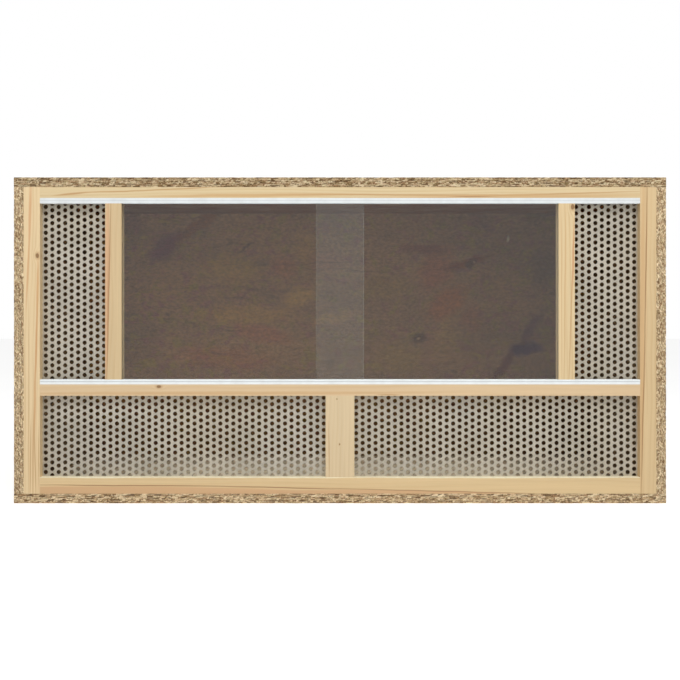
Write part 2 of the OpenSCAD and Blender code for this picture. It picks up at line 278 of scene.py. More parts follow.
class Finish(Paint):
    """The nodes of one new material, with its shader and the object's own coordinates."""

    def __init__(self, name):
        self.material = bpy.data.materials.new(name)
        self.material.use_nodes = True
        super().__init__(self.material.node_tree)
        self.shader = self.node("BsdfPrincipled", {})
        self.end = self.node("OutputMaterial", {"Surface": self.shader.outputs[0]})
        self.here = self.node("TexCoord", {}).outputs["Object"]

    def done(self, colour, rough, relief, depth, metal=0.0, gloss=0.5, strength=1.0):
        """The material, with its colour, roughness, relief of that depth in metres, metal and gloss."""
        relief = self.first("Bump", {"Height": relief, "Distance": depth, "Strength": strength})
        names = ("Base Color", "Roughness", "Normal", "Metallic", "Specular IOR Level")
        for name, value in zip(names, (colour, rough, relief, metal, gloss)):
            self.put(self.shader.inputs[name], value)
        return self.material


def wear_material(obj, material):
    """Gives obj that one material in every slot."""
    obj.data.materials.clear()
    obj.data.materials.append(material)


# ---------------------------------------------------------------- tones and marks


# metres to a step, in which marks lie on the front and on the wall behind it, and stains measure
FRONT_STEP, WALL_STEP, STAIN_STEP = 0.0018394, 0.0023291, 0.00233
# steps right and down from the left top corner to the middle at eye height, and that height
CORNER, EYE_HEIGHT = (339.97, 313.2), 0.350
# steps across the whole view, y of the front, half the width of the floor and the light on it
VIEW, FRONT, FLOOR, FLOOR_LIGHT = 680, -0.3, 14, 0.32
# how far from a board's outer face the tint on its inner face begins
INNER_TINT_DEPTH = 0.012
# the least height of a cell of a vent sheet, and the width of its plain borders
LEAST_CELL, WIDE_BORDER, NARROW_BORDER = 0.0005, 0.01275, 0.00475
# half length in metres of a mark along y, which so goes through the whole part
THROUGH = 1e3
# points round a screw or its cup, and within what reach across and along it its points lie
SCREW_SIDES, SCREW_REACH = 24, (0.012, 0.2)
# distance between two points along an edge that doesn't show, how far inside the rim a face's
# ring lies, and how many rows of points an edge has
PLAIN_STEP, FACE_RING, EDGE_ROWS = 0.03, 0.0032, 17
# radius and depth of each ring of the cup that holds a screw's head
CUP_RINGS = (0.0041, 0.0), (0.0041, 0.0005), (0.0021, 0.0026), (0.0021, 0.004)
# y between the two faces of the back panel, and how wide the ground edge of a pane is
WALL_MIDDLE, GROUND_EDGE = 0.2955, 0.0004

# rings of a screw's drive and head: size and height in head radii, and 1 where it has lobes
FLAT_HEAD = (
    (0.42, -0.55, 1), (0.55, -0.1, 1), (0.56, 0.0, 1), (0.94, 0.0, 0),
    (0.99, -0.03, 0), (0.99, -0.07, 0), (0.5, -0.58, 0),
)
PAN_HEAD = (
    (0.3, -0.36, 1), (0.42, -0.08, 1), (0.44, -0.02, 1), (0.7, -0.02, 0),
    (0.9, -0.16, 0), (1.0, -0.4, 0), (1.0, -0.62, 0), (0.5, -0.64, 0),
)
STRAND_LAYERS = (
    # turn and start of each layer of strands
    (0.12, (0.3, 0.1, 0)),
    (-0.42, (1.7, 0.6, 0.01)),
    (0.61, (3.1, 1.3, 0.02)),
    (1.25, (4.9, 2.2, 0.03)),
)
FACE_TONES = (
    (0.0, 170, 136, 94),
    (0.12, 195, 162, 117),
    (0.35, 211, 182, 138),
    (0.6, 219, 193, 150),
    (0.85, 228, 205, 165),
    (1.0, 203, 167, 121),
)
CUT_TONES = (
    (0.0, 122, 95, 62),
    (0.2, 158, 130, 93),
    (0.45, 194, 168, 130),
    (0.7, 214, 191, 154),
    (1.0, 240, 221, 184),
)
BOARDS = (
    # the board, the order of its axes, its screws, which end of its thickness they enter, which
    # edges show, how long its cut strands are, how pale its edges and how deep their crevices
    # look, the colour and cover of the tint on its inner face, and its gloss. The pale tint on
    # the bottom board's inner face is painted light on the floor inside
    # the bottom and side boards' edges are paler and the top board's edge darker, partly as painted
    # light for how the light from above falls
    (
        "bottom_board", "XYZ", "bottom_board_screws", 0, (1, 1, 0, 1), 1.0, 1.06, 1.0,
        # pale inner tint: painted light on the floor inside
        (250, 240, 222), 0.55, 0.35,
    ),
    (
        "top_board", "XYZ", "top_board_screws", 1, (1, 1, 0, 1), 0.9, 0.96, 1.0,
        (134, 76, 30), 0.96, 0.08,
    ),
    (
        "left_side_board", "ZYX", "side_board_screws", 0, (1, 0, 0, 0), 0.4, 1.085, 0.7,
        (98, 86, 68), 0.7, 0.35,
    ),
    (
        "right_side_board", "ZYX", "side_board_screws", 1, (1, 0, 0, 0), 0.4, 1.085, 0.7,
        (98, 86, 68), 0.7, 0.35,
    ),
)
VENEER_TONES = (
    (0.28, 146, 112, 76),
    (0.45, 163, 123, 85),
    (0.6, 175, 132, 88),
    (0.75, 156, 123, 80),
)
STAINS = (
    # how far right and down, half length and half width in steps, turn, colour, strength, softness
    (232, 269, 26, 13, 0.1, (184, 143, 74), 0.75),
    (246, 315, 40, 9, 0.0, (193, 146, 74), 0.7),
    (299, 297, 16, 9, -0.4, (210, 163, 87), 0.65),
    (306, 250, 12, 16, 0.0, (182, 137, 74), 0.6),
    (383, 287, 28, 12, 0.0, (169, 132, 69), 0.6),
    (400, 358, 22, 14, 0.0, (166, 132, 69), 0.6),
    (446, 330, 14, 26, 0.3, (182, 137, 80), 0.6),
    (283, 268, 14, 9, 0.5, (184, 116, 81), 0.6),
    (262, 334, 26, 8, 0.2, (193, 115, 80), 0.5),
    (225, 358, 42, 11, 0.08, (193, 106, 64), 0.32),
    (436, 270, 14, 22, 0.5, (182, 112, 74), 0.8),
    (447, 303, 22, 12, -0.7, (188, 116, 64), 0.8, 0.5),
    (472, 318, 10, 12, 0.0, (176, 112, 77), 0.6),
    (326, 262, 16, 10, 0.0, (176, 120, 88), 0.6),
    (334, 318, 22, 5, -0.25, (202, 157, 87), 0.5, 0.5),
    (424, 249, 20, 5, 0.05, (150, 92, 66), 0.85, 0.5),
    (482, 222, 14, 8, 0.9, (144, 104, 85), 0.6),
    (130, 222, 12, 10, 0.0, (142, 98, 80), 0.7),
    (545, 268, 12, 20, 0.2, (134, 104, 81), 0.6),
    (541, 212, 20, 8, 0.0, (132, 104, 69), 0.6),
)
STREAKS = (
    # both ends and half width in steps, colour, strength
    ((216, 212), (166, 248), 5.5, (147, 90, 48), 0.8),
    ((172, 240), (160, 252), 9.0, (122, 63, 77), 0.8),
    ((494, 378), (524, 340), 4.5, (120, 58, 44), 0.85),
    ((516, 350), (538, 347), 6.0, (83, 29, 76), 0.9),
    ((526, 336), (538, 318), 4.5, (118, 71, 76), 0.7),
    ((240, 250), (253, 243), 1.8, (118, 85, 60), 0.8),
    ((450, 268), (482, 259), 4.0, (142, 68, 28), 0.7),
)
KNOT_RINGS = (
    # outer and inner distance, strength, colour
    (2.2, 0.9, 0.45, (186, 142, 92)),
    (1.1, 0.8, 0.8, (124, 90, 56)),
    (0.75, 0.3, 0.6, (158, 116, 72)),
)
LINE, BAND = (190, 143, 92), (206, 164, 112)
STRIPS = (
    # name, way of the grain, heart of the log, ring scale, tilt, contrast, pale and dark wood, knots
    ("left_outer_post", "ZXY", (-0.64, -0.38), 1.5, (0.01, 0.01), 0.5,
     (236, 210, 166), (213, 174, 122), ((37.3, 255.6, 1.7),)),
    ("right_outer_post", "ZXY", (0.52, -0.36), 1.7, (0.008, 0.006), 0.45,
     (224, 196, 150), (203, 164, 115), ()),
    ("left_inner_post", "ZXY", (-0.50, -0.38), 1.9, (0.006, 0.008), 0.35,
     (219, 193, 150), (201, 165, 116), ()),
    ("right_inner_post", "ZXY", (0.36, -0.37), 1.6, (-0.008, 0.006), 0.5,
     (231, 206, 161), (211, 175, 124), ((572.6, 206.8, 1.9),)),
    ("centre_post", "ZXY", (0.09, -0.37), 1.8, (0.01, 0.01), 0.4,
     (226, 203, 164), (211, 182, 139), ((336.9, 399.0, 0.45), (339.6, 444.3, 0.5))),
    ("top_rail", "XZY", (0.66, -0.36), 1.7, (0.004, 0.004), 0.45,
     (227, 204, 160), (208, 175, 124), ()),
    ("middle_rail", "XZY", (0.17, -0.37), 2.0, (0.003, -0.004), 0.3,
     (229, 200, 159), (212, 175, 127), ((158.9, 386.6, 1.5),)),
    ("bottom_rail", "XZY", (-0.05, -0.37), 2.0, (0.004, 0.003), 0.3,
     (227, 199, 152), (208, 171, 121), ()),
)
MARKS = {
    # both ends and half width in steps of the front, colour, strength and, if not 0.6, softness
    "left_outer_post": (
        (30.8, 184, 29.4, 240, 1.3, (218, 168, 122), 0.75),
        (29.5, 234, 26.4, 304, 0.9, (214, 162, 114), 0.7),
        (37.9, 260, 37.3, 318, 1.0, (212, 160, 108), 0.75),
        (37.4, 308, 35.0, 384, 0.9, (206, 152, 102), 0.8),
        (35.1, 374, 34.2, 436, 0.9, (212, 160, 108), 0.75),
        (34.2, 424, 35.7, 494, 0.6, LINE, 0.65),
        (33.6, 418, 32.6, 494, 0.6, LINE, 0.6),
        (30.9, 424, 30.2, 494, 0.6, LINE, 0.6),
        (38.3, 430, 38.9, 494, 0.5, LINE, 0.6),
        (28.8, 300, 28.4, 494, 0.5, LINE, 0.4),
    ),
    "right_outer_post": (
        (643.6, 180, 641.2, 480, 2.2, (212, 172, 122), 0.7, 0.4),
        (647.4, 178, 645.0, 340, 0.6, (158, 112, 68), 0.8),
        (645.2, 325, 641.2, 494, 0.6, (158, 112, 68), 0.75),
    ),
    "left_inner_post": (
        (107.6, 200, 105.0, 382, 2.5, (220, 174, 134), 0.7, 0.3),
        (110.8, 200, 106.6, 382, 0.6, (172, 124, 82), 0.85),
        (108.6, 220, 106.4, 382, 0.5, (190, 140, 98), 0.5),
    ),
    "right_inner_post": (
        (573.9, 225, 572.4, 292, 0.8, (202, 138, 92), 0.7),
        (571.9, 284, 569.0, 382, 0.5, LINE, 0.6),
        (565.8, 204, 564.2, 382, 0.7, BAND, 0.6),
        (561.8, 204, 561.6, 382, 0.5, BAND, 0.5),
    ),
    "centre_post": (
        (328.6, 425, 329.8, 478, 0.5, LINE, 0.5),
    ),
    "top_rail": (
        (57, 195.2, 86, 192.5, 0.9, LINE, 0.75),
        (80, 192.9, 152, 190.0, 0.6, LINE, 0.7),
        (140, 190.6, 222, 186.8, 0.6, LINE, 0.65),
        (156, 196.2, 345, 194.4, 1.7, BAND, 0.7),
        (300, 194.4, 522, 195.4, 0.7, LINE, 0.7),
        (490, 195.4, 640, 191.6, 0.6, LINE, 0.7),
        (380, 197.6, 642, 195.2, 2.0, BAND, 0.6, 0.5),
        (452, 196.6, 494, 196.8, 0.4, (160, 112, 66), 0.7),
    ),
    "middle_rail": (
        (38, 393.6, 420, 392.8, 1.6, BAND, 0.5),
        (150, 384.4, 172, 384.8, 0.5, LINE, 0.6),
        (378, 394.6, 398, 394.8, 0.6, LINE, 0.6),
    ),
    "bottom_rail": (
        (-60, 491.2, 300, 492.6, 5.4, (214, 174, 131), 0.9, 0.12),
        (200, 492.6, 520, 494.6, 3.6, (214, 174, 131), 0.9, 0.15),
        (36, 484.9, 232, 486.2, 0.6, (160, 116, 78), 0.8),
        (215, 486.0, 350, 489.2, 0.5, (160, 116, 78), 0.8),
        (340, 489.0, 536, 493.4, 0.5, (160, 116, 78), 0.7),
        # painted highlight: a pale line along the lit top edge of the bottom rail
        (-400, 476.4, 1080, 476.4, 1.5, (255, 246, 214), 1.0, 0.2),
    ),
}


# ---------------------------------------------------------------- materials


def strand_layer(p, vector, turn, measure, start):
    """One felted layer of strands: its random colour, its gaps and its fine grain.

    The board's coordinates are turned in the plane of the board and divided by a strand's
    length, width and thickness. Each cell of the Voronoi pattern then is one strand.
    """
    flat = p.place(vector, at=start, turn=(0, 0, turn))
    ragged = p.shift(flat, (0.012, 0.007, 0.0006), 38.0, 2.0)
    cells = {"Vector": p.place(ragged, tuple(1 / m for m in measure)), "Scale": 1.0, "Randomness": 1.0}
    tint = p.node("SeparateColor", {0: p.node("TexVoronoi", cells).outputs["Color"]}).outputs
    rim = p.node("TexVoronoi", cells, feature="DISTANCE_TO_EDGE").outputs["Distance"]
    return tint, rim, p.noise(flat, (14.0, 620.0, 620.0), 3.0, 0.6)


def osb_material(name, order, seed, measure, shade, crevice, outer, inner_tint, cover, gloss):
    """Pressed strands of pale wood: felted strands on the faces, cut ones along the sawn edges.

    On the faces four layers of strands lie over each other at different angles. Along the
    edges the colour follows the attribute cut: the tone and the gap of each cut strand.
    """
    p = Finish(name)
    turned = p.turned_axes(p.here, order)
    vector = p.place(turned, at=seed)
    layers = [strand_layer(p, vector, turn, measure, at) for turn, at in STRAND_LAYERS]
    (tint, gap, grain), *layers = layers
    tone, lift = tint[0], tint[2]
    for (tint, rim, fibre), least in zip(layers, (0.5, 0.6, 0.8)):
        above = p.calc("GREATER_THAN", tint[1], least)
        tone = p.between(above, tone, tint[0])
        gap = p.between(above, gap, rim)
        lift = p.between(above, lift, tint[2])
        grain = p.between(above, grain, fibre)
    face = p.ramp(tone, *FACE_TONES)
    dark = p.times(p.span(gap, 0.0, 0.07, 1.0, 0.0), p.span(p.noise(p.here, 30.0), 0.42, 0.62))
    face = p.stain(face, dark, 0.7, (104, 74, 46))
    # the inner face takes a tint; on the bottom board it is pale, which is painted light on the floor
    # inside
    inside = p.calc("GREATER_THAN", p.off(p.parts(turned)[2], outer), INNER_TINT_DEPTH)
    film = p.span(p.noise(p.here, 14.0), 0.3, 0.6, 0.75 * cover, cover)
    face = p.stain(face, inside, film, inner_tint)

    cut = p.node("Attribute", {}, attribute_name="cut").outputs["Color"]
    tones, gaps, edge = p.node("SeparateColor", {0: cut}).outputs
    speck = p.noise(vector, (260.0, 260.0, 900.0), 2.0, 0.6)
    fine = p.times(p.span(speck, 0.3, 0.7, -0.5, 0.5), 0.75, tones)
    # shade makes the sawn edges paler or darker per board, partly painted light for how the light from
    # above falls on each edge
    sawn = p.ramp(fine, *((at, *(part * shade for part in colour)) for at, *colour in CUT_TONES))
    hue = p.noise(vector, (90.0, 90.0, 300.0), 2.0)
    sawn = p.mix(p.span(hue, 0.5, 0.7, 0.0, 0.4), sawn, (176, 128, 96))
    sawn = p.mix(p.span(hue, 0.5, 0.3, 0.0, 0.35), sawn, (168, 156, 108))
    deep = p.times(gaps, p.span(speck, 0.3, 0.6, 0.6 * crevice, crevice))
    sawn = p.mix(deep, sawn, (80, 56, 34))

    colour = p.shade(p.mix(edge, face, sawn), p.span(grain, 0.3, 0.7, 0.9, 1.06))
    flat = p.calc("SUBTRACT", p.times(grain, 0.25, lift), p.times(dark, 1.3))
    relief = p.between(edge, flat, speck)
    return p.done(colour, p.span(tone, 0.0, 1.0, 0.6, 0.8), relief, 0.00035, gloss=gloss)


def spot(step, x, y):
    """The place in metres, right of the middle and up, of x and y steps from a left top corner."""
    return (x - CORNER[0]) * step, EYE_HEIGHT - (y - CORNER[1]) * step


def pine_material(name, order, heart, ring, seed, tilt, contrast, pale, dark, knots, marks):
    """Planed pine: growth rings about the log's heart, fine fibres, knots and darker lines.

    The distance from the heart of the log, which lies at heart in the cross-section and
    leans by tilt, is divided by the ring spacing. Slow noise along the strip bends the rings,
    and each knot pushes them aside. Knots are x, y and size and marks are x, y of both ends,
    half width, colour, strength and softness, all in steps of the front.
    """
    p = Finish(name)
    along = p.turned_axes(p.here, order)
    x, *across = p.parts(p.shift(along, (0.0, 0.022, 0.022), (2.6, 7.0, 7.0), 2.0, at=seed))
    upright = [p.times(x, -lean, part) for lean, part in zip(tilt, across)]
    y, z = (p.calc("SUBTRACT", part, middle) for part, middle in zip(upright, heart))
    reach = p.calc("SQRT", p.times(y, y, p.times(z, z)))
    ragged = p.shift(p.here, (0.0018, 0.0018, 0.0018), 260.0, 2.0)
    long, short = (1.5, 1.0) if order[0] == "X" else (1.0, 1.5)
    spots = []
    for kx, ky, size in knots:
        half = size * FRONT_STEP
        far = p.reach(ragged, spot(FRONT_STEP, kx, ky), half * long, half * short)
        reach = p.times(p.ease(far, 4.0, 0.4), ring * 1.2, reach)
        spots.append(far)
    rings = p.calc("FRACT", p.calc("DIVIDE", reach, ring))
    late = p.times(p.ease(rings, 0.35, 0.9), p.span(rings, 1.0, 0.93))
    thin = p.noise(along, (9.0, 900.0, 900.0), 3.0, 0.62, at=seed)
    broad = p.noise(along, (2.4, 60.0, 60.0), at=seed)
    tone = p.times(late, p.span(broad, 0.35, 0.65, 0.15, 1.0))
    both = p.times(p.span(thin, 0.3, 0.7, 0.955, 1.025), p.span(broad, 0.3, 0.7, 1.025, 0.96))
    colour = p.shade(p.stain(pale, tone, contrast, dark), both)
    wavy = p.shift(p.here, (0.003, 0.0, 0.003), 12.0)
    for x0, y0, x1, y1, half, tint, strength, *soft in marks:
        start, end = spot(FRONT_STEP, x0, y0), spot(FRONT_STEP, x1, y1)
        mask = p.stroke(wavy, start, end, half * FRONT_STEP, *soft)
        colour = p.stain(colour, mask, strength, tint)
    for far in spots:
        for outer, inner, strength, tint in KNOT_RINGS:
            colour = p.mix(p.ease(far, outer, inner, 0.0, strength), colour, tint)
    relief = p.times(tone, 0.5, p.times(thin, 0.7))
    return p.done(colour, p.span(tone, 0.0, 1.0, 0.62, 0.5), relief, 0.00012, gloss=0.4)


def film_material():
    """Dark brown film over rotary-cut veneer, with faint wavy grain, two knots and stained patches. Its
    inner face carries painted shade, darker towards the bottom and the right, and painted light, paler
    at the left.
    """
    p = Finish("film board brown")
    warped = p.shift(p.here, (0.05, 0.0, 0.05), 9.0, 4.0, 0.6)
    rough_rim = p.shift(p.here, (0.045, 0.0, 0.03), 30.0, 4.0, 0.65)
    colour = p.ramp(p.noise(p.place(warped, (1.2, 1.0, 3.2)), 2.4, 4.0), *VENEER_TONES)
    mottle = p.noise(warped, (34.0, 1.0, 38.0), 4.0, 0.65)
    other = p.noise(warped, (34.0, 1.0, 44.0), 4.0, 0.65, at=(3, 0, 7))
    colour = p.mix(p.span(mottle, 0.53, 0.64, 0.0, 0.85), colour, (163, 133, 69))
    colour = p.mix(p.span(other, 0.53, 0.64, 0.0, 0.75), colour, (159, 106, 88))
    colour = p.mix(p.span(other, 0.40, 0.33, 0.0, 0.4), colour, (110, 84, 57))
    plain = p.mix(0.85, colour, (91, 70, 52))
    for right, down, long, short, turn, tint, strength, *soft in STAINS:
        at = spot(WALL_STEP, right, down)
        mask = p.patch(rough_rim, at, long * STAIN_STEP, short * STAIN_STEP, turn, *soft)
        colour = p.stain(colour, mask, strength, tint)
    for start, end, half, tint, strength in STREAKS:
        start, end = spot(WALL_STEP, *start), spot(WALL_STEP, *end)
        mask = p.stroke(rough_rim, start, end, half * STAIN_STEP, 0.5)
        colour = p.stain(colour, mask, strength, tint)
    for right, down, size in ((472, 263, 2.6), (419, 338, 3.0)):
        at = spot(WALL_STEP, right, down)
        ring = p.patch(rough_rim, at, size * 0.0052, size * 0.0034, soft=0.5)
        colour = p.stain(colour, ring, 0.75, (100, 69, 46))
        heart = p.patch(warped, at, size * 0.0014, size * 0.001, soft=0.5)
        colour = p.stain(colour, heart, 0.7, (210, 163, 116))
    fleck = p.patch(p.here, spot(WALL_STEP, 508, 239), 0.0028, 0.0075, 0.1, 0.5)
    colour = p.stain(colour, fleck, 0.7, (224, 208, 157))
    lines = p.noise(p.shift(p.here, (0.0, 0.0, 0.06), 5.0), (2.6, 1.0, 150.0), 3.0, 0.6)
    crack = p.span(lines, 0.30, 0.40, 1.0, 0.0)
    some = p.span(p.noise(p.here, 6.0, 2.0), 0.48, 0.6)
    colour = p.stain(colour, p.times(crack, some), 0.4, (94, 64, 39))
    x, y, z = p.parts(p.here)
    # painted shade and light on the inner face: darker towards the bottom and the right, paler at the
    # left
    low = p.ease(z, 0.06, 0.24, 0.4, 1.0)
    left = p.ease(x, -0.5, -0.1, 1.3, 1.0)
    right = p.ease(x, 0.05, 0.3, 1.0, 0.92)
    inner = p.calc("LESS_THAN", y, WALL_MIDDLE)
    shade = p.between(inner, 1.0, p.times(low, p.times(left, right)))
    fine = p.noise(p.here, (140.0, 1.0, 260.0), 3.0, 0.6)
    streak = p.times(p.span(lines, 0.3, 0.7, 0.94, 1.05), p.span(fine, 0.3, 0.7, 0.72, 1.26))
    colour = p.shade(p.mix(inner, plain, colour), p.times(streak, shade))
    rough = p.span(p.noise(p.here, 22.0, 4.0), 0.3, 0.7, 0.5, 0.64)
    return p.done(colour, rough, p.times(lines, 0.8, p.times(crack, -0.6)), 0.00012, gloss=0.12)


def sheet_material():
    """Mill-finish aluminium: soft lighter clouds, rolling lines, and walls in the holes painted darker
    as the shade inside them.
    """
    p = Finish("vent sheet aluminium")
    clouds = p.noise(p.here, 16.0, 4.0, 0.6)
    colour = p.ramp(clouds, (0.3, 174, 168, 155), (0.5, 187, 180, 166), (0.7, 198, 191, 177))
    warm = p.span(p.noise(p.here, 6.0), 0.4, 0.65, 0.0, 0.35)
    colour = p.mix(warm, colour, (186, 174, 149))
    # painted shade: the walls of the holes, which face sideways, are darker
    facing = p.parts(p.node("TexCoord", {}).outputs["Normal"])[1]
    flat = p.span(p.calc("ABSOLUTE", facing), 0.6, 0.96)
    colour = p.mix(flat, (104, 97, 84), colour)
    colour = p.shade(colour, p.span(p.noise(p.here, 240.0, 3.0, 0.6), 0.35, 0.65, 0.93, 1.06))
    rolled = p.noise(p.here, (2.0, 2.0, 700.0))
    rough = p.times(clouds, 0.22, p.span(rolled, 0.3, 0.7, 0.34, 0.42))
    return p.done(colour, rough, p.times(rolled, 0.5, clouds), 0.00006, metal=0.55)


def runner_material(name, middle, strength, foot, white):
    """White extruded plastic: faint draw lines, a little dust, a shallow line at middle painted darker
    as the shade in its groove, a warm foot. white scales the colour and is raised on the bottom runner
    as painted light.
    """
    p = Finish(name)
    dust = p.noise(p.here, 40.0, 4.0, 0.6)
    # white makes the plastic paler; on the bottom runner that is painted light
    pale, bright = (tuple(part * white for part in tone) for tone in ((228, 232, 232), (238, 243, 244)))
    z = p.parts(p.here)[2]
    # painted shade: the shallow groove at middle is darker
    line = p.ease(p.off(z, middle), 0.0008, 0.0003)
    colour = p.stain(p.ramp(dust, (0.3, *pale), (0.6, *bright)), line, strength, (150, 154, 158))
    warm = p.ease(z, foot + 0.0022, foot + 0.0008, 0.0, 0.8)
    colour = p.mix(warm, colour, (222, 198, 166))
    drawn = p.noise(p.here, (1.5, 2400.0, 2400.0), 2.0)
    relief = p.times(line, -8.0, p.times(drawn, 0.5, dust))
    return p.done(colour, p.span(dust, 0.3, 0.7, 0.28, 0.42), relief, 0.00003)


def glass_material(name, ends):
    """Clear float glass with faint wipe marks and ground edges at x = ends. Lamps shine through it."""
    p = Finish(name)
    clear = rgb(252, 254, 252)
    wipes = p.noise(p.here, (3.0, 3.0, 16.0), turn=(0, 0.5, 0))
    p.done(clear, 0.0, wipes, 0.00001, strength=0.2)
    p.put(p.shader.inputs["Transmission Weight"], 1.0)
    p.put(p.shader.inputs["IOR"], 1.5)
    lamp = p.node("LightPath", {}).outputs["Is Shadow Ray"]
    through = p.first("BsdfTransparent", {"Color": clear})
    pane = p.first("MixShader", {0: lamp, 1: p.shader.outputs[0], 2: through})
    x = p.parts(p.here)[0]
    edge = p.calc("LESS_THAN", p.calc("MINIMUM", *(p.off(x, end) for end in ends)), GROUND_EDGE)
    grit = p.first("Bump", {"Height": p.noise(p.here, 2500.0, 2.0), "Distance": 0.0001})
    matt = {"Base Color": rgb(150, 146, 134), "Roughness": 0.6, "Normal": grit}
    ground = p.first("BsdfPrincipled", matt)
    p.put(p.end.inputs["Surface"], p.first("MixShader", {0: edge, 1: pane, 2: ground}))
    return p.material


def screw_material(name, pale, deep):
    """Plated steel with a cloudy passivated film."""
    p = Finish(name)
    clouds = p.noise(p.here, 420.0)
    colour = p.mix(p.span(clouds, 0.35, 0.65), pale, deep)
    rough = p.span(clouds, 0.3, 0.7, 0.26, 0.42)
    return p.done(colour, rough, p.noise(p.here, 1800.0, 2.0), 0.00003, metal=1.0)


def dowel_material():
    """Turned beech with short dark flecks along the grain."""
    p = Finish("beech dowel")
    flecks = p.noise(p.here, (120.0, 900.0, 900.0), 3.0, 0.6)
    colour = p.ramp(flecks, (0.32, 150, 108, 74), (0.42, 205, 172, 132), (0.7, 214, 184, 146))
    return p.done(colour, 0.6, flecks, 0.00008)


# ---------------------------------------------------------------- meshes


def ride_new(name, points, faces, material, body, *instead_of, smooth=30.0, marks=None):
    """A closed mesh from arrays of points and faces, in place of those frame nodes, on that body.

    marks holds four numbers to a point, which the material reads as the attribute cut.
    """
    mesh = bpy.data.meshes.new(name)
    faces = [f for f in faces if len(f)]
    sizes = np.concatenate([np.full(len(f), f.shape[1]) for f in faces])
    corners = np.concatenate([f.ravel() for f in faces]).astype(np.int32)
    mesh.vertices.add(len(points))
    mesh.vertices.foreach_set("co", np.asarray(points, dtype=np.float32).ravel())
    mesh.loops.add(len(corners))
    mesh.loops.foreach_set("vertex_index", corners)
    mesh.polygons.add(len(sizes))
    mesh.polygons.foreach_set("loop_start", (np.cumsum(sizes) - sizes).astype(np.int32))
    mesh.update(calc_edges=True)
    if marks is not None:
        layer = mesh.color_attributes.new("cut", "FLOAT_COLOR", "POINT")
        layer.data.foreach_set("color", np.asarray(marks, dtype=np.float32).ravel())
    obj = bpy.data.objects.new(name, mesh)
    bpy.context.scene.collection.objects.link(obj)
    wear_material(obj, material)
    mesh.shade_smooth()
    mesh.set_sharp_from_angle(angle=math.radians(smooth))
    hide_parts(*instead_of)
    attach(obj, body)
    return obj


def circle(sides):
    """Points on a circle of radius 1."""
    angle = np.arange(sides) * 2 * np.pi / sides
    return np.stack([np.cos(angle), np.sin(angle)], 1)


def quads(one, two, axis=-1):
    """Faces between closed loops of point numbers, which run along that axis of one and two."""
    corners = [one, np.roll(one, -1, axis), np.roll(two, -1, axis), two]
    return np.stack(corners, -1).reshape(-1, 4)


